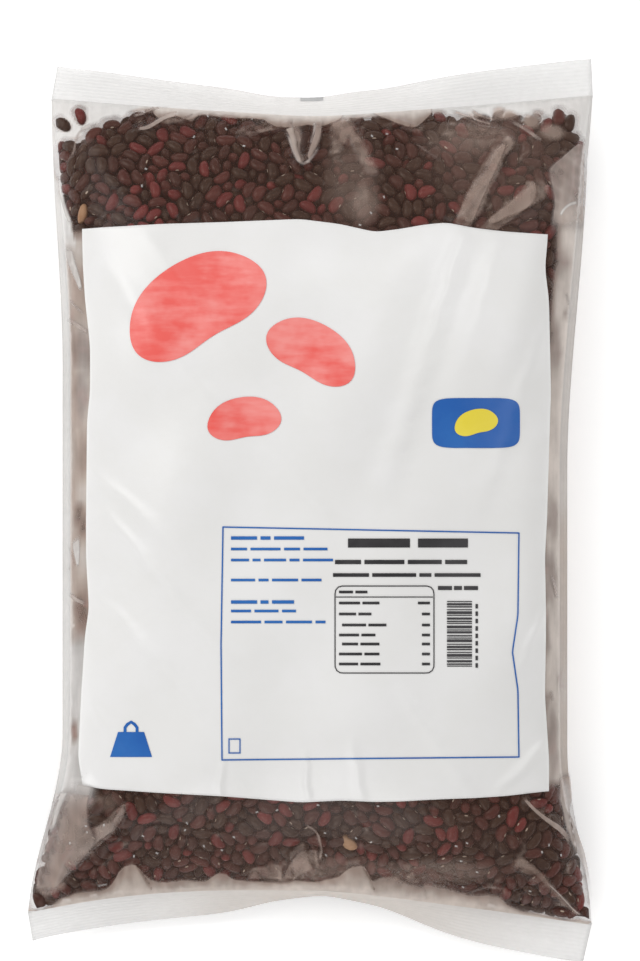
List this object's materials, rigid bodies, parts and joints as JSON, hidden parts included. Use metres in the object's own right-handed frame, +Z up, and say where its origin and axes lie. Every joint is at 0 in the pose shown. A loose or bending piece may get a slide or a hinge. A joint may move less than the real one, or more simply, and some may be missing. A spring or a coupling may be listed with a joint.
{
  "type": "bag of dried beans",
  "caption": "Sealed pillow bag of clear film filled with small dried red beans, lying on its back, with a crimped fin across each end and a white printed panel on its face.",
  "frame": {"origin": "on the surface the bag lies on, under the middle of its bounding box", "axes": "+Z up, out of the printed face; +Y along the bag from the bottom seal to the top seal; +X to the right of the printed face"},
  "size_m": [0.3004, 0.4844, 0.081],
  "materials": {
    "beans_in_film": "clear polyethylene film over dark red beans, with a white printed panel"
  },
  "bodies": {
    "root": {"bag": "beans_in_film"}
  },
  "joints": []
}
